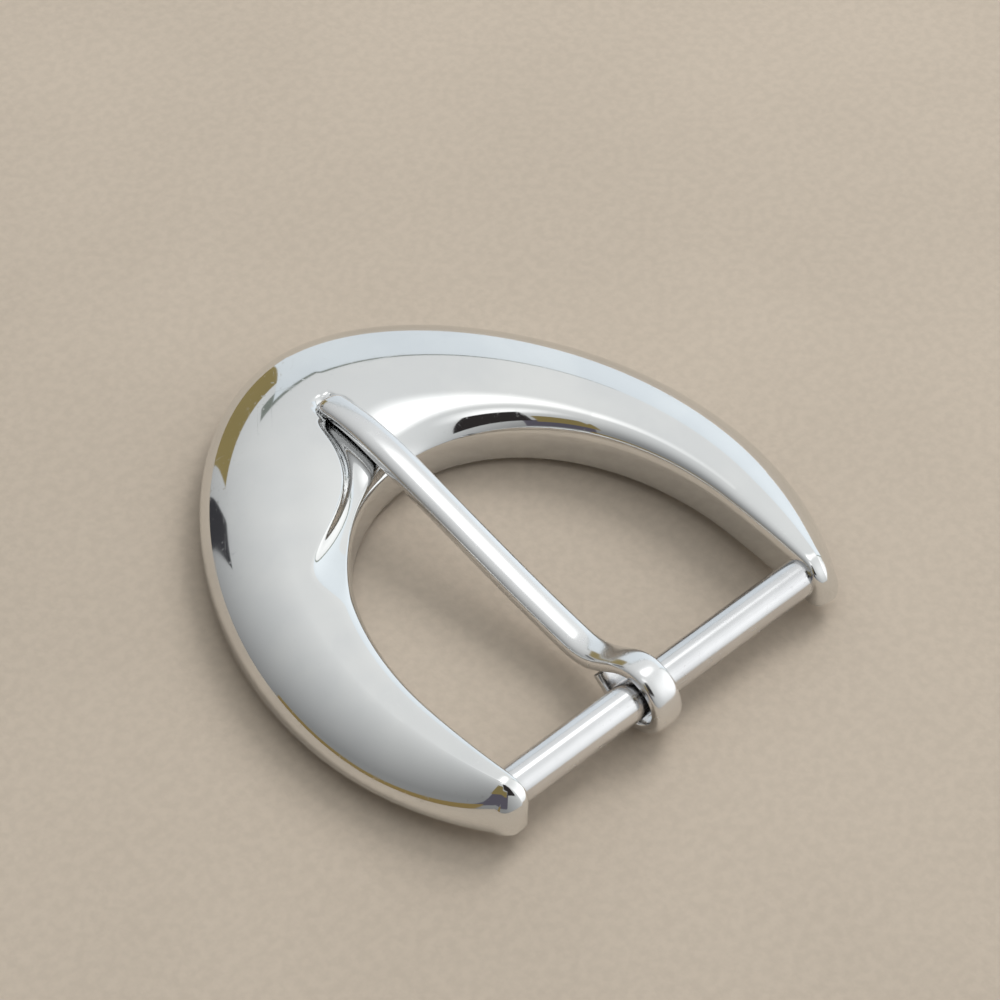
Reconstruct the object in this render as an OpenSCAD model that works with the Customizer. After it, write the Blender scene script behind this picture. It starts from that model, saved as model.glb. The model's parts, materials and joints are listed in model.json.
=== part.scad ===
// Domed horseshoe belt buckle with a rod and a formed wire tongue.
// Frame: X along the rod, +Y towards the apex, +Z out of the front face.
// The buckle lies on the loop of its tongue, which reaches below the frame's flat back.
// The origin is level with the loop's lowest point, in the middle of the length and width.
// The outlines are worked out from a base line near the rod, with heights above the back,
// and placed() moves them to the origin.

/* [Opening] */
// Clear width between the arms at the rod, which the strap fills
strap_gap = 40.5; // [38:0.5:41]
// Widest half-width of the opening
inner_half_w = 20.8; // [20.6:0.1:22]
// Distance from the base line to the widest place of the opening
inner_wide_y = 12; // [8:0.5:15]
// Distance from the base line to the apex of the opening
inner_apex_y = 39.3; // [36:0.1:42]

/* [Outline] */
// Widest half-width of the frame
outer_half_w = 31; // [29:0.1:32]
// Distance from the base line to the widest place of the frame
outer_wide_y = 20; // [16:0.5:24]
// Distance from the base line to the apex of the frame
outer_apex_y = 61.8; // [58:0.5:66]
// Half-width over the arms, at the base line
arm_half_w = 25; // [24.5:0.1:26]
// Slimming of the outline towards the apex, which makes it egg-shaped
apex_slim = 0.13; // [0:0.01:0.2]

/* [Dome] */
// Height of the ridge at the apex
apex_h = 7; // [6:0.1:8.5]
// Height of the ridge at the ends of the arms
tip_h = 5.3; // [5:0.1:6]
// Height of the sharp inner edge
edge_h = 4.2; // [3.8:0.1:4.5]
// Height at the apex where the outer wall starts to roll over
shoulder_h = 1.9; // [1.5:0.1:2.5]
// Height at the ends of the arms where it does so
tip_shoulder_h = 0.7; // [0.6:0.1:1.2]
// Place of the ridge across the band, from the inner edge
ridge_at = 0.48; // [0.4:0.01:0.6]
// Squareness of the inner side of the arms, where 2 is a plain ellipse
arm_power = 6; // [3:0.5:6]

/* [Tongue seat] */
// Sideways place of the seat
seat_x = -2.4; // [-3:0.1:2.4]
// Half-width of the seat's left side where its far end starts to close
seat_left = 2.1; // [2.1:0.05:2.5]
// Half-width of the seat's right side at the same place
seat_right = 2.3; // [2.3:0.05:2.7]
// Distance from the base line to that place
seat_end_y = 48.4; // [48.4:0.1:49]
// Height of the seat's floor at the inner edge
seat_low = 4.85; // [4.6:0.05:4.85]
// Rise of the seat's floor from the inner edge to the far end
seat_rise = 1; // [0.8:0.05:1]

/* [Rod] */
// Radius of the rod
rod_r = 2.15; // [1.8:0.05:2.2]
// Height of the rod's axis above the frame's back
rod_z = 2.3; // [2.2:0.05:2.4]
// Distance from the base line to the rod's axis
rod_y = 0.7; // [0.5:0.05:0.9]
// Radius of the rod's turned-down ends
tenon_r = 1.1; // [0.8:0.05:1.2]
// Length of each turned-down end
tenon_l = 2; // [1.5:0.1:2.2]

/* [Tongue] */
// Sideways place of the tongue on the rod
tongue_x = -2.3; // [-2.8:0.1:2.8]
// Radial gap between the loop and the rod
loop_gap = 0.6; // [0.3:0.05:0.6]
// Thickness of the loop
loop_t = 1.5; // [1.2:0.05:1.5]
// Width of the loop
loop_w = 3.5; // [3.2:0.1:4.2]
// Width of the shank
shank_w = 3.6; // [3:0.1:3.8]
// Thickness of the shank
shank_t = 2.4; // [2:0.1:2.4]

/* [Hidden] */
$fn = 64;

loop_in = rod_r + loop_gap;
loop_out = loop_in + loop_t;

// The origin is this far in front of the base line
middle_y = (outer_apex_y + rod_y - loop_out) / 2;
// The back of the frame is this far above the origin
back_z = loop_out - rod_z;

module placed() {
    translate([0, -middle_y, back_z])
        children();
}

// --- Outlines ---------------------------------------------------------
// Each is a pair of half ellipses that share their widest line.
inner_low_r = inner_wide_y / sqrt(1 - pow(strap_gap / 2 / inner_half_w, 2));
outer_low_r = outer_wide_y / sqrt(1 - pow(arm_half_w / outer_half_w, 2));
arm_end_y = -0.35;
end_angle = asin((inner_wide_y - arm_end_y) / inner_low_r);

function inner_point(a) = let (r = sin(a) > 0 ? inner_apex_y - inner_wide_y : inner_low_r)
    [inner_half_w * cos(a), inner_wide_y + r * sin(a)];

// The way across the band turns with the station, square to both outlines
function across(a) = let (v = [cos(a), 0.6 * sin(a)]) v / norm(v);

// Distance from p along v to an ellipse centred on [0, outer_wide_y]
function reach(p, v, ry) =
    let (q = [p.x / outer_half_w, (p.y - outer_wide_y) / ry],
         w = [v.x / outer_half_w, v.y / ry],
         b = q * w,
         c = q * q - 1)
    (-b + sqrt(b * b - c * (w * w))) / (w * w);

// The outer point across the band from the inner point p
function outer_point(p, v) =
    let (high_r = outer_apex_y - outer_wide_y,
         up = p + v * reach(p, v, high_r),
         rise = (up.y - outer_wide_y) / high_r)
    rise > 0 ? [up.x * (1 - apex_slim * rise * rise), up.y]
             : p + v * reach(p, v, outer_low_r);

// --- Seat for the tongue's tip ----------------------------------------
seat_wall = 3;
seat_blend = 0.25;
seat_reach = 8;
seat_run = 2.2;
seat_spread = 6;
seat_close = 2.5;

// Place of the inner edge on the apex side at x
function edge_y(x) =
    inner_wide_y + (inner_apex_y - inner_wide_y) * sqrt(max(0, 1 - pow(x / inner_half_w, 2)));

function seat_z(x, y) =
    let (side = abs(x - seat_x),
         back = max(0, seat_end_y - y),
         over = max(0, y - seat_end_y),
         left = seat_left + 1.05 * back / (back + 0.3) + 0.12 * back + 0.0042 * pow(back, 3),
         right = seat_right + 0.05 * pow(max(0, back - 6.4), 2),
         out = pow(side / (x < seat_x ? left : right), 2) + pow(over / seat_close, 2),
         fade = 0.02 * pow(max(0, side - seat_reach), 2),
         rise = 1 - exp(-max(0, y - edge_y(x)) / seat_run),
         floor_z = seat_low + seat_rise * rise * exp(-pow(side / seat_spread, 2)))
    floor_z + fade + seat_wall * pow(out, 4);

function soft_min(a, b, k) = min(a, b) - pow(max(0, k - abs(a - b)), 2) / k / 4;

function seated(x, y, z) = y < 20 ? z : soft_min(z, seat_z(x, y), seat_blend);

// --- Cross-section of the band ----------------------------------------
foot_r = 0.5;
edge_cut = 0.97;
outer_steps = 9;
inner_steps = 14;

// Height of the ridge, from the apex (t = 0) to the arm's end (t = 1)
function ridge_z(t) = apex_h + (tip_h - apex_h) * pow(t, 1.5);

// Height of the shoulder, and squareness of the inner side, in the same way
function shoulder_z(t) = shoulder_h + (tip_shoulder_h - shoulder_h) * t * t;
function inner_power(t) = 2 + (arm_power - 2) * pow(min(1, 2 * t), 1.5);

// Rounding of the outer side, where 1 is an ellipse and more is nearer to a slope
function outer_power(t) = 0.85 + 0.5 * t;

// Height over the inner side, from the ridge (u = 0) to the edge (u = 1)
function inner_z(u, top, power) =
    let (low = pow(1 - pow(edge_cut, power), 1 / power),
         now = pow(1 - pow(edge_cut * u, power), 1 / power))
    edge_h + (top - edge_h) * (now - low) / (1 - low);

// Points of one section as [distance from the inner wall, height]
function section(w, t) =
    let (mid = (ridge_at - 0.12 * t) * w,
         top = ridge_z(t),
         low = shoulder_z(t),
         power = inner_power(t),
         bend = outer_power(t))
    concat(
        [[0, 0.2], [0.2, 0], [w / 2, 0], [w - foot_r, 0]],
        [[w - foot_r * 0.3, foot_r * 0.3], [w, foot_r], [w, (foot_r + low) / 2]],
        [for (i = [0:outer_steps])
            let (a = 90 * i / outer_steps)
            [mid + (w - mid) * pow(cos(a), bend),
             low + (top - low) * pow(sin(a), bend)]],
        [for (i = [1:inner_steps])
            let (u = sin(90 * i / inner_steps))
            [mid * (1 - u), inner_z(u, top, power)]]);

// --- Rounded arm ends -------------------------------------------------
end_len = 2.05;
end_top_r = 3.3;
end_out_r = 2.4;
end_in_r = 1.5;
end_foot_r = 0.4;
end_steps = 10;

// How far a corner of radius r has turned in at s past the last station
function turned_in(s, r) = r - sqrt(max(0, r * r - pow(max(0, s - end_len + r), 2)));

// One ring of the frame at angle a, moved along the arm by s
function ring(a, s) =
    let (p = inner_point(a),
         band = outer_point(p, across(a)) - p,
         w = norm(band),
         v = band / w,
         side = cos(a) > 0 ? 1 : -1,
         along = [side * v.y, -side * v.x],
         t = min(1, abs(a - 90) / (90 + end_angle)),
         top = ridge_z(t),
         past = s + arm_end_y - p.y,
         left = turned_in(past, end_in_r),
         wide = 1 - (left + turned_in(past, end_out_r)) / w,
         low = turned_in(past, end_foot_r),
         high = 1 - (low + turned_in(past, end_top_r)) / top)
    [for (q = section(w, t))
        let (xy = p + v * (left + q.x * wide) + along * s,
             z = low + q.y * high)
        [xy.x, xy.y, z < edge_h / 2 ? z : seated(xy.x, xy.y, z)]];

// --- Frame ------------------------------------------------------------
stations = 96;

// The ways along the arm at which its rounded end has a ring
ends = [for (i = [1:end_steps]) end_len * sin(90 * i / end_steps)];

frame_rings = concat(
    [for (i = [end_steps - 1:-1:0]) ring(-end_angle, ends[i])],
    [for (i = [0:stations]) ring(-end_angle + (180 + 2 * end_angle) * i / stations, 0)],
    [for (s = ends) ring(180 + end_angle, s)]);

// Skins a row of equal rings, and closes both ends
module skin(rings) {
    m = len(rings[0]);
    n = len(rings);
    polyhedron(
        points = [for (r = rings) each r],
        faces = concat(
            [[for (j = [m - 1:-1:0]) j]],
            [for (i = [0:n - 2], j = [0:m - 1])
                let (k = (j + 1) % m)
                each [[i * m + j, i * m + k, (i + 1) * m + j],
                      [i * m + k, (i + 1) * m + k, (i + 1) * m + j]]],
            [[for (j = [0:m - 1]) (n - 1) * m + j]]),
        convexity = 6);
}

module frame() {
    color([0.80, 0.81, 0.82])
    placed() difference() {
        skin(frame_rings);
        rod_solid();
    }
}

// --- Rod --------------------------------------------------------------
rod_edge = 0.3;
rod_sunk = 0.35;
module rod_solid() {
    half = strap_gap / 2 + rod_sunk;
    tip = half + tenon_l;
    translate([0, rod_y, rod_z])
        rotate([0, 90, 0])
            rotate_extrude()
                union() {
                    translate([0, -half])
                        square([rod_r - rod_edge, 2 * half]);
                    translate([0, -half + rod_edge])
                        square([rod_r, 2 * (half - rod_edge)]);
                    intersection() {
                        square([rod_r, half]);
                        translate([rod_r - rod_edge, half - rod_edge])
                            circle(rod_edge);
                    }
                    intersection() {
                        translate([0, -half])
                            square([rod_r, half]);
                        translate([rod_r - rod_edge, rod_edge - half])
                            circle(rod_edge);
                    }
                    translate([0, -tip])
                        square([tenon_r, 2 * tip]);
                }
}

module rod() {
    color([0.78, 0.78, 0.80])
    placed() rod_solid();
}

// --- Tongue -----------------------------------------------------------
loop_crown = 3;
mouth_low = -62;
mouth_high = 58;

// The loop round the rod: a crowned band with its mouth on the +Y side
module loop() {
    translate([tongue_x, rod_y, rod_z])
        difference() {
            rotate([0, 90, 0])
                rotate_extrude()
                    intersection() {
                        translate([loop_in, -loop_w / 2])
                            square([loop_t, loop_w]);
                        translate([loop_out - loop_crown, 0])
                            circle(loop_crown, $fn = 128);
                    }
            rotate([90, 0, 90])
                translate([0, 0, -loop_w])
                    linear_extrude(2 * loop_w)
                        polygon([[0, 0],
                                 8 * [cos(mouth_low), sin(mouth_low)],
                                 8 * [1, 0],
                                 8 * [cos(mouth_high), sin(mouth_high)]]);
        }
}

function bezier(p, t) =
    pow(1 - t, 3) * p[0] + 3 * t * pow(1 - t, 2) * p[1]
    + 3 * t * t * (1 - t) * p[2] + pow(t, 3) * p[3];

// The centre line's height above the back, from the loop's top to the tip
loop_top_z = rod_z + loop_in + loop_t / 2;
neck = [[rod_y, loop_top_z], [rod_y + 3.5, loop_top_z], [5.5, 1.2], [10.5, 1.7]];
shaft = [[10.5, 1.7], [22, 3.0], [35, 6.4], [42, 7.2]];
nose = [[42, 7.2], [44.5, 7.55], [47.7, 7.35], [50.2, 6.8]];
neck_steps = 14;
shaft_steps = 10;
nose_steps = 8;
centre_line = concat(
    [for (i = [0:neck_steps - 1]) bezier(neck, i / neck_steps)],
    [for (i = [0:shaft_steps - 1]) bezier(shaft, i / shaft_steps)],
    [for (i = [0:nose_steps]) bezier(nose, 1 - pow(1 - i / nose_steps, 2))]);

function ease(a, b, x) = let (t = min(1, max(0, (x - a) / (b - a)))) t * t * (3 - 2 * t);
tip_y = nose[3].x;
tip_round = 1.6;
function nose_round(y) = sqrt(max(0.02, 1 - pow(max(0, y - tip_y + tip_round) / tip_round, 2)));
function shank_width(y) =
    (loop_w + (shank_w - loop_w) * ease(3, 9, y) - 0.4 * ease(38, 49, y)) * nose_round(y);
function shank_thick(y) =
    (loop_t + (shank_t - loop_t) * ease(2, 9, y) - 0.5 * ease(38, 49, y)) * nose_round(y);

// One section of the shank: round above, flatter below
sides = 16;
under = 0.8;
function shank_ring(i) =
    let (n = len(centre_line),
         p = centre_line[i],
         d = centre_line[min(n - 1, i + 1)] - centre_line[max(0, i - 1)],
         up = [-d.y, d.x] / norm(d),
         w = shank_width(p.x) / 2,
         t = shank_thick(p.x) / 2)
    [for (j = [0:sides - 1])
        let (a = 360 * j / sides,
             h = t * (sin(a) > 0 ? sin(a) : -under * pow(-sin(a), 0.6)))
        [tongue_x + w * cos(a), p.x + up.x * h, p.y + up.y * h]];

module shank() {
    skin([for (i = [0:len(centre_line) - 1]) shank_ring(i)]);
}

// The cut end of the strip, under the neck
tail_y = 6.2;
tail_z = 1;
tail_w = 3.3;
module tail() {
    low = rod_z - loop_out + 0.05;
    translate([tongue_x - tail_w / 2, 0, 0])
        rotate([90, 0, 90])
            linear_extrude(tail_w)
                polygon([[rod_y, low],
                         [rod_y + 1, low + 0.1],
                         [rod_y + 2, low + 0.5],
                         [tail_y, tail_z],
                         [tail_y - 0.7, tail_z + 1],
                         [rod_y + 1.6, low + loop_t + 0.1],
                         [rod_y, low + loop_t - 0.2]]);
}

module tongue() {
    color([0.82, 0.82, 0.83])
    placed() {
        loop();
        shank();
        tail();
    }
}

frame();
rod();
tongue();
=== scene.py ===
import json
import math

import bpy
import numpy as np
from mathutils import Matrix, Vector


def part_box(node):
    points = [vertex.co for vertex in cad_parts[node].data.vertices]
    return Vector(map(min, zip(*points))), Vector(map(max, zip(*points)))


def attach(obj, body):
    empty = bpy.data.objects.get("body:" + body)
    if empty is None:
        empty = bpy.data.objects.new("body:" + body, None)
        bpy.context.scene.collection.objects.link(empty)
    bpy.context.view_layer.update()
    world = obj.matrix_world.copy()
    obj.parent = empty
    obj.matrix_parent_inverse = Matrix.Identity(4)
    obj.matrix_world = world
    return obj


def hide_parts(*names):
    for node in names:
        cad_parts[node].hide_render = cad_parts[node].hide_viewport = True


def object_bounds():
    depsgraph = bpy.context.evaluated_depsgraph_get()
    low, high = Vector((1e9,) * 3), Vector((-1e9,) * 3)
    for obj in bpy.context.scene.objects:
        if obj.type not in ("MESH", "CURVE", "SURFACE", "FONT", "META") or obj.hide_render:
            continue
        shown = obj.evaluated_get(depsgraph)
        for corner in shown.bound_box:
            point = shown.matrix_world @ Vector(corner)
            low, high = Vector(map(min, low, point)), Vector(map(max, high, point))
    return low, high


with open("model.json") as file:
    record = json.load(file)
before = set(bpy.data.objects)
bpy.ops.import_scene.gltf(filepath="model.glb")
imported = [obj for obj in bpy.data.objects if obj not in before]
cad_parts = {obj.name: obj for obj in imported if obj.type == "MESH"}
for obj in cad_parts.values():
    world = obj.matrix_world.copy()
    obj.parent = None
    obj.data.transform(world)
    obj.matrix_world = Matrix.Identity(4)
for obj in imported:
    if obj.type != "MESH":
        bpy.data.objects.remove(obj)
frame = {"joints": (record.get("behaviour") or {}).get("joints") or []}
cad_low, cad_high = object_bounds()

# A domed horseshoe belt buckle with a rod and a formed tongue, lying on a plain pale floor.
# Shapes are worked out in millimetres, with y from the part's base line near the rod and z
# above the frame's back, and placed() turns them into metres in the part's own frame.

MM = 0.001

# --- Driving dimensions, the same as the part's own ---------------------------
STRAP_GAP = 40.5
INNER_HALF_W = 20.8
INNER_WIDE_Y = 12.0
INNER_APEX_Y = 39.3
OUTER_HALF_W = cad_high.x / MM
OUTER_WIDE_Y = 20.0
OUTER_APEX_Y = 61.8
ARM_HALF_W = 25.0
APEX_SLIM = 0.13
APEX_H = 7.0
TIP_H = 5.3
EDGE_H = 4.2
SHOULDER_H = 1.9
TIP_SHOULDER_H = 0.7
RIDGE_AT = 0.48
ARM_POWER = 6.0
SEAT_X = -2.4
SEAT_LEFT = 2.1
SEAT_RIGHT = 2.3
SEAT_END_Y = 48.4
SEAT_LOW = 4.85
SEAT_RISE = 1.0
ROD_R = 2.15
ROD_Z = 2.3
ROD_Y = 0.7
TENON_R = 1.1
TENON_L = 2.0
TONGUE_X = (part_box("tongue")[0].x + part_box("tongue")[1].x) / 2 / MM
LOOP_GAP = 0.6
LOOP_T = 1.5
LOOP_W = 3.5
SHANK_W = 3.6
SHANK_T = 2.4
LOOP_IN = ROD_R + LOOP_GAP

HINGE = frame["joints"][0]["pos_m"]
BASE_Y = HINGE[1] - ROD_Y * MM
BACK_Z = HINGE[2] - ROD_Z * MM


# --- Mesh helpers ---------------------------------------------------------------
def placed(points):
    """Points in millimetres from the base line and the back, as metres in the part's frame."""
    p = np.asarray(points, float).reshape(-1, 3) * MM
    p[:, 1] += BASE_Y
    p[:, 2] += BACK_Z
    return p


def new_piece(name, points, faces, material):
    """A smooth-shaded piece from points in millimetres."""
    mesh = bpy.data.meshes.new(name)
    mesh.from_pydata([tuple(p) for p in placed(points)], [], faces)
    mesh.polygons.foreach_set("use_smooth", [True] * len(faces))
    mesh.validate()
    mesh.update()
    mesh.materials.append(material)
    piece = bpy.data.objects.new(name, mesh)
    bpy.context.scene.collection.objects.link(piece)
    return piece


def closed_sweep(name, rings, material):
    """A closed piece skinned over a row of equal rings, with a point at the middle of each end."""
    around = len(rings[0])
    points = np.concatenate([np.asarray(r) for r in rings])
    ends = [np.mean(rings[0], 0), np.mean(rings[-1], 0)]
    last = (len(rings) - 1) * around
    faces = []
    for i in range(len(rings) - 1):
        for j in range(around):
            k = (j + 1) % around
            a, b = i * around, (i + 1) * around
            faces.append((a + j, a + k, b + k, b + j))
    at = len(points)
    for j in range(around):
        k = (j + 1) % around
        faces.append((at, k, j))
        faces.append((at + 1, last + j, last + k))
    return new_piece(name, np.vstack([points, ends]), faces, material)


def shrunk(ring, scale, way):
    """A ring drawn in round its own middle and moved along."""
    centre = np.mean(ring, 0)
    return centre + (np.asarray(ring) - centre) * scale + np.asarray(way)


def ease(a, b, x):
    """0 below a, 1 above b, and a smooth step between."""
    t = min(1.0, max(0.0, (x - a) / (b - a)))
    return t * t * (3 - 2 * t)


# --- Frame ----------------------------------------------------------------------
INNER_LOW_R = INNER_WIDE_Y / math.sqrt(1 - (STRAP_GAP / 2 / INNER_HALF_W) ** 2)
OUTER_LOW_R = OUTER_WIDE_Y / math.sqrt(1 - (ARM_HALF_W / OUTER_HALF_W) ** 2)
ARM_END_Y = -0.35
STATION_LEAN = 0.6
END_ANGLE = math.asin((INNER_WIDE_Y - ARM_END_Y) / INNER_LOW_R)
SEAT_WALL = 3.0
SEAT_BLEND = 0.25
SEAT_REACH = 8.0
SEAT_RUN = 2.2
SEAT_SPREAD = 6.0
SEAT_CLOSE = 2.5
SEAT_FROM_Y = 20
FOOT_R = 0.5
HEEL_R = 0.2
EDGE_CUT = 0.97
RIM_R = 0.16
END_LEN = 2.05
END_TOP_R = 3.3
END_OUT_R = 2.4
END_IN_R = 1.5
END_FOOT_R = 0.4
END_STEPS = 36
STATIONS = 670
OUTER_STEPS = 44
INNER_STEPS = 56


def inner_point(a):
    """A point of the opening's outline at angle a, from +X."""
    r = INNER_APEX_Y - INNER_WIDE_Y if math.sin(a) > 0 else INNER_LOW_R
    return np.array([INNER_HALF_W * math.cos(a), INNER_WIDE_Y + r * math.sin(a)])


def across(a):
    """The level direction from the inner wall to the outer one at angle a."""
    v = np.array([math.cos(a), STATION_LEAN * math.sin(a)])
    return v / np.linalg.norm(v)


def reach(p, v, ry):
    """Distance from p along v to an ellipse centred on [0, OUTER_WIDE_Y]."""
    q = np.array([p[0] / OUTER_HALF_W, (p[1] - OUTER_WIDE_Y) / ry])
    w = np.array([v[0] / OUTER_HALF_W, v[1] / ry])
    b, c = q @ w, q @ q - 1
    return (-b + math.sqrt(b * b - c * (w @ w))) / (w @ w)


def outer_point(p, v):
    """Where the outer outline is met from p along v, drawn in towards the apex."""
    high_r = OUTER_APEX_Y - OUTER_WIDE_Y
    up = p + v * reach(p, v, high_r)
    rise = (up[1] - OUTER_WIDE_Y) / high_r
    if rise > 0:
        return np.array([up[0] * (1 - APEX_SLIM * rise * rise), up[1]])
    return p + v * reach(p, v, OUTER_LOW_R)


def edge_y(x):
    """Place of the inner edge on the apex side at x."""
    rise = np.sqrt(np.maximum(0, 1 - (x / INNER_HALF_W) ** 2))
    return INNER_WIDE_Y + (INNER_APEX_Y - INNER_WIDE_Y) * rise


def seat_z(x, y):
    """Height of the seat that the tongue's tip rests in, walled to both sides and past its end."""
    side = np.abs(x - SEAT_X)
    back = np.maximum(0, SEAT_END_Y - y)
    over = np.maximum(0, y - SEAT_END_Y)
    left = SEAT_LEFT + 1.05 * back / (back + 0.3) + 0.12 * back + 0.0042 * back ** 3
    right = SEAT_RIGHT + 0.05 * np.maximum(0, back - 6.4) ** 2
    out = (side / np.where(x < SEAT_X, left, right)) ** 2 + (over / SEAT_CLOSE) ** 2
    fade = 0.02 * np.maximum(0, side - SEAT_REACH) ** 2
    rise = 1 - np.exp(-np.maximum(0, y - edge_y(x)) / SEAT_RUN)
    floor_z = SEAT_LOW + SEAT_RISE * rise * np.exp(-(side / SEAT_SPREAD) ** 2)
    return floor_z + fade + SEAT_WALL * out ** 4


def soft_min(a, b, k):
    """The lower of a and b, blended where they are within k of each other."""
    return np.minimum(a, b) - np.maximum(0, k - np.abs(a - b)) ** 2 / k / 4


def ridge_z(t):
    return APEX_H + (TIP_H - APEX_H) * t ** 1.5


def shoulder_z(t):
    return SHOULDER_H + (TIP_SHOULDER_H - SHOULDER_H) * t * t


def inner_power(t):
    return 2 + (ARM_POWER - 2) * min(1.0, 2 * t) ** 1.5


def outer_power(t):
    return 0.85 + 0.5 * t


def inner_z(u, top, power):
    """Height over the inner side, from the ridge (u = 0) to the edge (u = 1)."""
    low = (1 - EDGE_CUT ** power) ** (1 / power)
    now = (1 - (EDGE_CUT * u) ** power) ** (1 / power)
    return EDGE_H + (top - EDGE_H) * (now - low) / (1 - low)


def section(w, along_arm):
    """One cross-section as (distance from the inner wall, height), from the inner edge round."""
    mid = (RIDGE_AT - 0.12 * along_arm) * w
    top, shoulder, power = ridge_z(along_arm), shoulder_z(along_arm), inner_power(along_arm)
    rim_u = 1 - RIM_R / mid
    rim_from = np.array([0, EDGE_H - RIM_R])
    rim_at = np.array([0, EDGE_H])
    rim_to = np.array([mid * (1 - rim_u), inner_z(rim_u, top, power)])
    t = np.linspace(0, 1, 6)[:, None]
    rim = (1 - t) ** 2 * rim_from + 2 * t * (1 - t) * rim_at + t ** 2 * rim_to
    u = np.sin(np.linspace(math.asin(rim_u), 0, INNER_STEPS + 1))[1:]
    inner = np.stack([mid * (1 - u), inner_z(u, top, power)], 1)
    a = np.linspace(math.pi / 2, 0, OUTER_STEPS + 1)[1:]
    bend = outer_power(along_arm)
    outer = np.stack([mid + (w - mid) * np.maximum(0, np.cos(a)) ** bend,
                      shoulder + (top - shoulder) * np.maximum(0, np.sin(a)) ** bend], 1)
    wall_out = np.array([[w, shoulder + (FOOT_R - shoulder) * s] for s in (0.25, 0.5, 0.75)])
    b = np.linspace(0, math.pi / 2, 7)
    foot = np.stack([w - FOOT_R * (1 - np.cos(b)), FOOT_R * (1 - np.sin(b))], 1)
    back = np.array([[HEEL_R + (w - FOOT_R - HEEL_R) * s, 0] for s in (0.8, 0.6, 0.4, 0.2)])
    c = np.linspace(0, math.pi / 2, 4)
    heel = np.stack([HEEL_R * (1 - np.sin(c)), HEEL_R * (1 - np.cos(c))], 1)
    wall_in = np.array([[0, HEEL_R + (EDGE_H - RIM_R - HEEL_R) * s] for s in (0.25, 0.5, 0.75)])
    return np.concatenate([rim, inner, outer, wall_out, foot, back, heel, wall_in])


def turned_in(s, r):
    """How far a corner of radius r has turned in at s past the last station."""
    return r - math.sqrt(max(0.0, r * r - max(0.0, s - END_LEN + r) ** 2))


def frame_ring(a, s):
    """One ring of the frame at angle a, moved along the arm by s and drawn in at the arm's end."""
    p = inner_point(a)
    band = outer_point(p, across(a)) - p
    w = np.linalg.norm(band)
    v = band / w
    side = 1 if math.cos(a) > 0 else -1
    along = np.array([side * v[1], -side * v[0]])
    t = min(1.0, abs(math.degrees(a) - 90) / (90 + math.degrees(END_ANGLE)))
    top = ridge_z(t)
    past = s + ARM_END_Y - p[1]
    left = turned_in(past, END_IN_R)
    wide = 1 - (left + turned_in(past, END_OUT_R)) / w
    low = turned_in(past, END_FOOT_R)
    high = 1 - (low + turned_in(past, END_TOP_R)) / top
    f = section(w, t)
    xy = p + np.outer(left + f[:, 0] * wide, v) + along * s
    z = low + f[:, 1] * high
    cut = soft_min(z, seat_z(xy[:, 0], xy[:, 1]), SEAT_BLEND)
    return np.column_stack([xy, np.where((xy[:, 1] < SEAT_FROM_Y) | (z < EDGE_H / 2), z, cut)])


def make_frame(material):
    """The horseshoe, swept from the end of one arm over the apex to the other."""
    ends = [END_LEN * math.sin(math.pi / 2 * i / END_STEPS) for i in range(1, END_STEPS + 1)]
    span = math.pi + 2 * END_ANGLE
    rings = [frame_ring(-END_ANGLE, s) for s in ends[::-1]]
    rings += [frame_ring(-END_ANGLE + span * i / STATIONS, 0) for i in range(STATIONS + 1)]
    rings += [frame_ring(math.pi + END_ANGLE, s) for s in ends]
    still = (0, 0, 0)
    rings = [shrunk(rings[0], k, still) for k in (0.3, 0.7)] + rings
    rings = rings + [shrunk(rings[-1], k, still) for k in (0.7, 0.3)]
    return closed_sweep("buckle_frame", rings, material)


# --- Rod ------------------------------------------------------------------------
ROD_EDGE = 0.3
ROD_SUNK = 0.35
ROD_SIDES = 96


def make_rod(material):
    """The rod turned round its axis: a tenon, a rounded shoulder and the plain middle."""
    half, tip = STRAP_GAP / 2 + ROD_SUNK, STRAP_GAP / 2 + ROD_SUNK + TENON_L
    turns = [math.pi / 2 * i / 8 for i in range(9)]
    end = [(tip, TENON_R * 0.5), (tip, TENON_R), (half, TENON_R)]
    end += [(half - ROD_EDGE * (1 - math.cos(t)), ROD_R - ROD_EDGE * (1 - math.sin(t))) for t in turns]
    middle = [(x, ROD_R) for x in np.linspace(half - 1, 1 - half, 39)]
    profile = end + middle + [(-x, r) for x, r in end[::-1]]
    round_it = [2 * math.pi * i / ROD_SIDES for i in range(ROD_SIDES)]
    rings = [[(x, ROD_Y + r * math.cos(t), ROD_Z + r * math.sin(t)) for t in round_it]
             for x, r in profile]
    return closed_sweep("strap_rod", rings, material)


# --- Tongue ---------------------------------------------------------------------
MID_R = LOOP_IN + LOOP_T / 2
LOOP_TOP_Z = ROD_Z + MID_R
LOOP_LOW_Z = ROD_Z - MID_R
NECK = [(ROD_Y, LOOP_TOP_Z), (ROD_Y + 3.5, LOOP_TOP_Z), (5.5, 1.2), (10.5, 1.7)]
SHAFT = [(10.5, 1.7), (22, 3.0), (35, 6.4), (42, 7.2)]
NOSE = [(42, 7.2), (44.5, 7.55), (47.7, 7.35), (50.2, 6.8)]
TIP_Y = NOSE[3][0]
TIP_ROUND = 1.6
TAIL = [(ROD_Y, LOOP_LOW_Z), (ROD_Y + 1.8, LOOP_LOW_Z), (4.0, -0.1), (5.9, 1.45)]
TAIL_W = 3.3
TAIL_T = 1.15
SHANK_TOP, SHANK_UNDER = 0.65, 0.55
LOOP_TOP, LOOP_UNDER = 0.62, 0.3
TONGUE_SIDES = 56
# Scale and step of each ring that closes the cut end
CUT_STEPS = ((0.97, 0.06), (0.9, 0.1), (0.6, 0.1), (0.3, 0.1))
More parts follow.
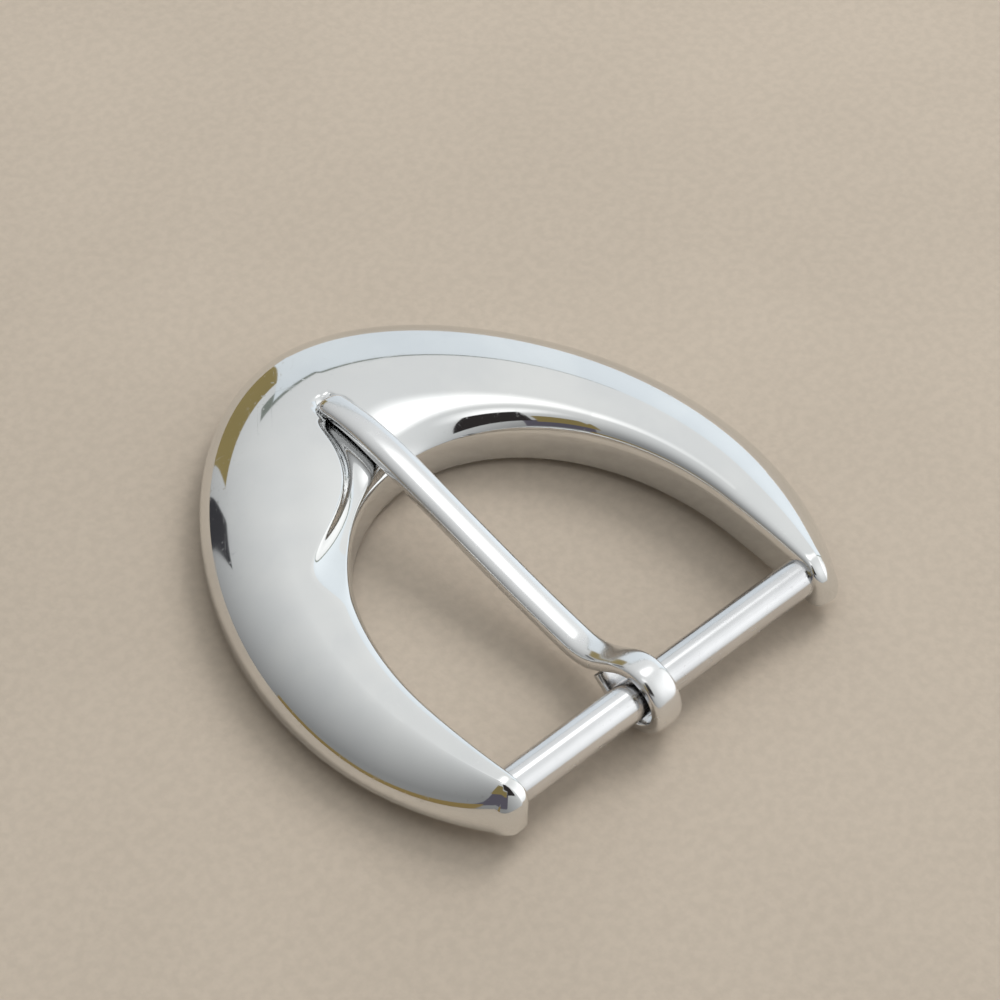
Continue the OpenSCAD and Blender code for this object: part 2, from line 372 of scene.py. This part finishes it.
# Where along y the loop's strip changes into the shank's, and where the tip slims
WIDEN = (3, 9)
THICKEN = (2.5, 9)
ROUND_OFF = (1.5, 6)
UNDERCUT_OVER = (2, 6)
SLIM_OVER = (38, 49)
SLIM_W, SLIM_T = 0.4, 0.5
UNDERCUT = 0.2
SIDE_POWER = 0.8
TAIL_SOFTER = 0.3


def bezier(p, t):
    p = np.array(p, float)
    return (1 - t) ** 3 * p[0] + 3 * t * (1 - t) ** 2 * p[1] + 3 * t * t * (1 - t) * p[2] + t ** 3 * p[3]


def strip_size(stage, y, s):
    """Half-width, half-thickness and the two roundings of the strip at one place of its path."""
    if stage == "loop":
        return LOOP_W / 2, LOOP_T / 2, LOOP_TOP, LOOP_UNDER
    if stage == "tail":
        k = ease(0, 0.6, s)
        return ((LOOP_W + (TAIL_W - LOOP_W) * k) / 2, (LOOP_T + (TAIL_T - LOOP_T) * k) / 2,
                LOOP_TOP - TAIL_SOFTER * k, LOOP_UNDER)
    end = math.sqrt(max(0.02, 1 - (max(0, y - TIP_Y + TIP_ROUND) / TIP_ROUND) ** 2))
    slim = ease(*SLIM_OVER, y)
    k = ease(*ROUND_OFF, y)
    return ((LOOP_W + (SHANK_W - LOOP_W) * ease(*WIDEN, y) - SLIM_W * slim) * end / 2,
            (LOOP_T + (SHANK_T - LOOP_T) * ease(*THICKEN, y) - SLIM_T * slim) * end / 2,
            LOOP_TOP + (SHANK_TOP - LOOP_TOP) * k, LOOP_UNDER + (SHANK_UNDER - LOOP_UNDER) * k)


def make_tongue(material):
    """One formed strip, swept from the tip along the shank, round the rod and into the tail."""
    path = [("shank", bezier(NOSE, 1 - (i / 60) ** 2), 0) for i in range(60)]
    path += [("shank", bezier(SHAFT, 1 - i / 90), 0) for i in range(90)]
    path += [("shank", bezier(NECK, 1 - i / 80), 0) for i in range(80)]
    path += [("loop", np.array([ROD_Y - MID_R * math.sin(t), ROD_Z + MID_R * math.cos(t)]), 0)
             for t in np.linspace(0, math.pi, 72)]
    path += [("tail", bezier(TAIL, i / 36), i / 36) for i in range(1, 37)]
    points = np.array([p for _, p, _ in path])
    turns = np.linspace(0, 2 * math.pi, TONGUE_SIDES, endpoint=False)
    across_it, height = np.cos(turns), np.sin(turns)
    rings = []
    for i, (stage, p, s) in enumerate(path):
        d = points[min(len(path) - 1, i + 1)] - points[max(0, i - 1)]
        d /= np.linalg.norm(d)
        w, t, top, under = strip_size(stage, p[0], s)
        wide = w * np.sign(across_it) * np.abs(across_it) ** SIDE_POWER
        deep = 1 - UNDERCUT * ease(*UNDERCUT_OVER, p[0]) * (stage == "shank")
        h = t * np.where(height > 0, np.abs(height) ** top, -deep * np.abs(height) ** under)
        rings.append(np.column_stack([TONGUE_X + wide, p[0] + d[1] * h, p[1] - d[0] * h]))
    way = np.array([0, d[0], d[1]])
    rings += [shrunk(rings[-1], k, way * m) for k, m in CUT_STEPS]
    rings = [shrunk(rings[0], 0.5, (0, 0.02, 0))] + rings
    piece = closed_sweep("buckle_tongue", rings[::-1], material)
    raw = piece.data.attributes.new("raw_end", "FLOAT", "POINT")
    cut_points = len(CUT_STEPS) * TONGUE_SIDES
    ends = len(rings) * TONGUE_SIDES
    raw.data.foreach_set("value", [1.0 if i < cut_points or i == ends else 0.0 for i in range(ends + 2)])
    return piece


# --- Materials ------------------------------------------------------------------
class Shader:
    """A Principled material with short ways to add and join nodes."""

    def __init__(self, name):
        self.material = bpy.data.materials.new(name)
        self.material.use_nodes = True
        self.tree = self.material.node_tree
        self.bsdf = self.tree.nodes["Principled BSDF"]

    def put(self, socket, value):
        if isinstance(value, bpy.types.NodeSocket):
            self.tree.links.new(value, socket)
        else:
            socket.default_value = value

    def node(self, kind, ins=(), **settings):
        n = self.tree.nodes.new("ShaderNode" + kind)
        for key, value in settings.items():
            setattr(n, key, value)
        for key, value in dict(ins).items():
            self.put(n.inputs[key], value)
        return n

    def place(self, scale=(1, 1, 1), turn=(0, 0, 0)):
        """The piece's own coordinates, turned and then scaled."""
        own = self.node("TexCoord").outputs["Object"]
        turned = self.node("Mapping", {"Vector": own, "Rotation": turn}).outputs[0]
        return self.node("Mapping", {"Vector": turned, "Scale": scale}).outputs[0]

    def noise(self, scale, detail=2.0, stretch=(1, 1, 1), turn=(0, 0, 0)):
        spot = self.place(stretch, turn)
        return self.node("TexNoise", {"Vector": spot, "Scale": scale, "Detail": detail}).outputs["Fac"]

    def span(self, value, low, high, to_low=0.0, to_high=1.0):
        """value from low..high mapped softly to to_low..to_high."""
        return self.node("MapRange", {"Value": value, "From Min": low, "From Max": high,
                                      "To Min": to_low, "To Max": to_high},
                         interpolation_type="SMOOTHSTEP").outputs[0]

    def sum(self, a, b, operation="ADD"):
        return self.node("Math", {0: a, 1: b}, operation=operation).outputs[0]

    def tint(self, amount, a, b):
        mix = self.node("Mix", {"Factor": amount, 6: (*a, 1), 7: (*b, 1)}, data_type="RGBA")
        return mix.outputs[2]

    def bump(self, height, depth, strength=1.0, under=None):
        ins = {"Height": height, "Distance": depth, "Strength": strength}
        if under is not None:
            ins["Normal"] = under
        return self.node("Bump", ins).outputs[0]


def hairlines(s, turn, fineness, rarity):
    """Fine straight scratches in one direction, as a value from 0 to 1."""
    lines = s.noise(fineness, 1.0, (0.012, 1, 0.3), (0, 0, math.radians(turn)))
    broken = s.noise(140, 1.0, (1, 1, 1), (0, 0, math.radians(turn + 31)))
    return s.sum(s.span(lines, rarity, rarity + 0.05), s.span(broken, 0.5, 0.62), "MULTIPLY")


def plated(name, bright, dull, rough, wave, drawn=0.0, satin_below=0.0, raw=False):
    """Nickel plate: clouded tone, smudges, hairlines and a slow waviness under the polish."""
    s = Shader(name)
    cloud = s.span(s.noise(75, 3.0), 0.36, 0.66)
    smudge = s.span(s.noise(210, 4.0, (1, 0.6, 1), (0, 0, 0.6)), 0.5, 0.74)
    scratch = s.sum(hairlines(s, 24, 2600, 0.66), hairlines(s, -52, 3100, 0.67))
    speck = s.span(s.noise(2400, 0.0), 0.74, 0.8)
    roughness = s.sum(s.sum(smudge, 0.045, "MULTIPLY"), s.sum(scratch, 0.1, "MULTIPLY"))
    roughness = s.sum(s.sum(roughness, s.sum(speck, 0.12, "MULTIPLY")), rough)
    slow = s.bump(s.noise(95, 1.0), wave * MM, 1.0)
    fine = s.bump(s.sum(scratch, -1.0, "MULTIPLY"), 0.0004 * MM, 0.6, slow)
    if drawn:
        streaks = s.noise(5200, 2.0, (0.006, 1, 1))
        roughness = s.sum(roughness, s.span(streaks, 0.45, 0.75, 0.0, 0.16))
        fine = s.bump(streaks, drawn * MM, 1.0, fine)
    colour_of = s.sum(cloud, s.sum(smudge, 0.4, "MULTIPLY"))
    colour = s.tint(colour_of, bright, dull)
    if satin_below:
        height = s.node("SeparateXYZ", {0: s.place()}).outputs["Z"]
        satin = s.span(height, satin_below + 0.0003, satin_below + 0.00005)
        grain = s.noise(3800, 2.0, (0.05, 1, 1))
        roughness = s.sum(roughness, s.sum(satin, s.span(grain, 0.3, 0.7, 0.16, 0.34), "MULTIPLY"))
        fine = s.bump(s.sum(grain, satin, "MULTIPLY"), 0.0012 * MM, 1.0, fine)
    if raw:
        cut = s.node("Attribute", attribute_name="raw_end").outputs["Fac"]
        torn = s.noise(1500, 4.0, (1, 0.5, 1))
        roughness = s.sum(roughness, s.sum(cut, 0.38, "MULTIPLY"))
        colour = s.node("Mix", {"Factor": s.sum(cut, s.span(torn, 0.3, 0.6, 0.4, 1.0), "MULTIPLY"),
                                6: colour, 7: (0.36, 0.35, 0.34, 1)}, data_type="RGBA").outputs[2]
        fine = s.bump(s.sum(torn, cut, "MULTIPLY"), 0.25 * MM, 1.0, fine)
    s.put(s.bsdf.inputs["Metallic"], 1.0)
    s.put(s.bsdf.inputs["Base Color"], colour)
    s.put(s.bsdf.inputs["Roughness"], roughness)
    s.put(s.bsdf.inputs["Normal"], fine)
    return s.material


FRAME_PLATE = plated("frame_nickel", (0.82, 0.82, 0.81), (0.76, 0.765, 0.765), 0.05, 0.004,
                     satin_below=BACK_Z)
ROD_PLATE = plated("rod_nickel", (0.80, 0.80, 0.81), (0.70, 0.70, 0.71), 0.12, 0.002, drawn=0.0025)
TONGUE_PLATE = plated("tongue_nickel", (0.84, 0.84, 0.84), (0.77, 0.77, 0.775), 0.16, 0.003, raw=True)

for piece, node, body in ((make_frame(FRAME_PLATE), "frame", "buckle"),
                          (make_rod(ROD_PLATE), "rod", "buckle"),
                          (make_tongue(TONGUE_PLATE), "tongue", "tongue")):
    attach(piece, body)
    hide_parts(node)

# --- Studio ---------------------------------------------------------------------
# Directions are given as (turn, rise) in degrees: turn to the right of the way the camera
# looks, and rise above the horizon.
VIEW_AZ, VIEW_EL = math.radians(-42.291), math.radians(47.466)
VIEW_DISTANCE = 322.98 * MM
VIEW_TARGET = placed([6.125, 31.352, 0])[0]
STUDIO_R = 1.5
CARD_STEPS = 24


def toward(turn, rise):
    """The unit direction for a turn and a rise in degrees."""
    a = math.radians(turn) - VIEW_AZ
    e = math.radians(rise)
    return Vector((math.sin(a) * math.cos(e), math.cos(a) * math.cos(e), math.sin(e)))


def glow(name, colour, strength, centre=None, radius=None, rim=0.0, over=False):
    """An emitting material. With a centre it fades to rim at radius, and over adds to what is behind."""
    s = Shader(name)
    s.tree.nodes.clear()
    emit = s.node("Emission", {"Color": (*colour, 1), "Strength": strength})
    if centre is not None:
        spot = s.node("NewGeometry").outputs["Position"]
        gap = s.node("VectorMath", {0: spot, 1: centre}, operation="DISTANCE").outputs["Value"]
        s.put(emit.inputs["Strength"], s.span(gap, 0.0, radius, strength, rim))
    light = emit.outputs[0]
    if over:
        clear = s.node("BsdfTransparent").outputs[0]
        light = s.node("AddShader", {0: light, 1: clear}).outputs[0]
    out = s.node("OutputMaterial")
    s.put(out.inputs["Surface"], light)
    return s.material


def card(name, turns, rises, material, r=STUDIO_R, bend=0.0):
    """A curved card round the buckle, out of the camera's sight."""
    points, faces = [], []
    for i in range(CARD_STEPS + 1):
        for j in range(CARD_STEPS + 1):
            turn = turns[0] + (turns[1] - turns[0]) * i / CARD_STEPS
            rise = rises[0] + (rises[1] + bend * i / CARD_STEPS - rises[0]) * j / CARD_STEPS
            points.append(toward(turn, rise) * r)
    row = CARD_STEPS + 1
    for i in range(CARD_STEPS):
        for j in range(CARD_STEPS):
            k = i * row + j
            faces.append((k, k + 1, k + row + 1, k + row))
    mesh = bpy.data.meshes.new(name)
    mesh.from_pydata(points, [], faces)
    mesh.materials.append(material)
    ob = bpy.data.objects.new(name, mesh)
    bpy.context.scene.collection.objects.link(ob)
    ob.visible_camera = False


WINDOW_AT = toward(44, 16) * STUDIO_R
SIDE_AT = toward(86, 22) * STUDIO_R
LAMP_AT = toward(24, 69) * STUDIO_R
FILL_AT = toward(170, 78) * STUDIO_R
card("window", (-22, 48), (-1, 33),
     glow("window_glow", (0.88, 0.95, 1.0), 1.15, WINDOW_AT, 1.7, 0.84), bend=10)
card("window_frame", (-26, 10), (30, 34), glow("bar_glow", (0.9, 1.0, 0.9), 0.25), r=1.51, bend=4)
card("side_wall", (40, 140), (-1, 80),
     glow("side_glow", (0.98, 0.99, 1.0), 0.75, SIDE_AT, 1.15, over=True), r=1.6)
card("door", (-46, -22), (-1, 25), glow("door_glow", (0.70, 0.56, 0.24), 0.40), r=1.52)
card("flag", (-62, -52), (-1, 28), glow("flag_glow", (0.9, 0.9, 1.0), 0.05), r=1.52)
card("edge_flag", (48, 51), (-1, 45), glow("edge_glow", (0.9, 1.0, 0.9), 0.4), r=1.52)
card("lamp", (-20, 70), (48, 89), glow("lamp_glow", (1.0, 1.0, 0.99), 1.5, LAMP_AT, 0.42, over=True))
card("fill", (90, 270), (58, 90), glow("fill_glow", (1.0, 1.0, 1.0), 0.6, FILL_AT, 0.42, over=True))
card("table", (-152, -96), (-1, 7), glow("table_glow", (0.62, 0.45, 0.18), 0.4), r=1.3)
card("coat", (-176, -150), (5, 34), glow("coat_glow", (0.86, 0.80, 1.0), 0.12), r=1.3)
card("watcher", (146, 188), (32, 74), glow("watcher_glow", (0.9, 0.8, 0.8), 0.035), r=0.9)
card("sleeve", (190, 212), (26, 56), glow("sleeve_glow", (0.66, 0.52, 0.22), 0.35), r=0.9)

KEY_TURN, KEY_RISE = 38, 44
KEY_AWAY = 1.2


def make_key():
    """The light for the floor's shadows, kept out of the plate's reflections."""
    light = bpy.data.lights.new("key", "AREA")
    light.energy = 6.0
    light.size = 0.5
    key = bpy.data.objects.new("key", light)
    key.location = toward(KEY_TURN, KEY_RISE) * KEY_AWAY
    key.rotation_mode = "QUATERNION"
    key.rotation_quaternion = toward(KEY_TURN, KEY_RISE).to_track_quat("Z", "Y")
    key.visible_glossy = False
    bpy.context.scene.collection.objects.link(key)


# The buckle rests on the tongue's loop at one end and on the apex at the other.
REST_RISE = BACK_Z
REST_RUN = (OUTER_APEX_Y - FOOT_R - ROD_Y) * MM
FLOOR_HALF = 2.0
FLOOR_GAP = 0.00003


def paper_material():
    """A warm, even paper with faint flecks and a slow drift of tone."""
    paper = Shader("paper")
    fleck = paper.span(paper.noise(900, 5.0), 0.3, 0.7)
    drift = paper.span(paper.noise(24, 2.0), 0.3, 0.7)
    shade = paper.sum(paper.sum(fleck, 0.6, "MULTIPLY"), paper.sum(drift, 0.4, "MULTIPLY"))
    tone = paper.tint(shade, (0.50, 0.425, 0.345), (0.57, 0.485, 0.395))
    paper.put(paper.bsdf.inputs["Base Color"], tone)
    paper.put(paper.bsdf.inputs["Roughness"], 0.9)
    paper.put(paper.bsdf.inputs["Normal"], paper.bump(paper.noise(1400, 4.0), 0.05 * MM, 0.5))
    return paper.material


def make_floor():
    """A plain pale floor, tilted so that it touches the loop and the apex."""
    corners = [(x * FLOOR_HALF, y * FLOOR_HALF, 0) for x, y in ((-1, -1), (1, -1), (1, 1), (-1, 1))]
    mesh = bpy.data.meshes.new("floor")
    mesh.from_pydata(corners, [], [(0, 1, 2, 3)])
    floor = bpy.data.objects.new("floor", mesh)
    floor.location = (0, HINGE[1], -FLOOR_GAP)
    floor.rotation_euler.x = math.atan(REST_RISE / REST_RUN)
    bpy.context.scene.collection.objects.link(floor)
    mesh.materials.append(paper_material())


def make_room():
    """The light from all round: brightest to the right and high, and darker to the left."""
    world = bpy.data.worlds.new("studio")
    bpy.context.scene.world = world
    world.use_nodes = True
    tree = world.node_tree
    way = tree.nodes.new("ShaderNodeTexCoord")
    facing = tree.nodes.new("ShaderNodeVectorMath")
    facing.operation = "DOT_PRODUCT"
    facing.inputs[1].default_value = toward(50, 35)
    level = tree.nodes.new("ShaderNodeMapRange")
    for socket, value in (("From Min", -0.6), ("From Max", 1.0), ("To Min", 0.26), ("To Max", 0.95)):
        level.inputs[socket].default_value = value
    tree.links.new(way.outputs["Generated"], facing.inputs[0])
    tree.links.new(facing.outputs["Value"], level.inputs["Value"])
    tree.links.new(level.outputs["Result"], tree.nodes["Background"].inputs["Strength"])
    tree.nodes["Background"].inputs["Color"].default_value = (0.98, 1.0, 1.0, 1)


make_key()
make_floor()
make_room()
bpy.context.scene.view_settings.view_transform = "Standard"


# --- Camera ---------------------------------------------------------------------
LENS = 108
SENSOR = 36


def make_camera():
    """A long lens, looking down on the buckle from the front left."""
    back = Vector((math.sin(VIEW_AZ) * math.cos(VIEW_EL),
                   -math.cos(VIEW_AZ) * math.cos(VIEW_EL),
                   math.sin(VIEW_EL)))
    camera = bpy.data.objects.new("camera", bpy.data.cameras.new("camera"))
    bpy.context.scene.collection.objects.link(camera)
    camera.data.lens = LENS
    camera.data.sensor_width = SENSOR
    camera.data.clip_start = 0.01
    camera.location = Vector(VIEW_TARGET) + back * VIEW_DISTANCE
    camera.rotation_mode = "QUATERNION"
    camera.rotation_quaternion = (-back).to_track_quat("-Z", "Y")
    bpy.context.scene.camera = camera


make_camera()
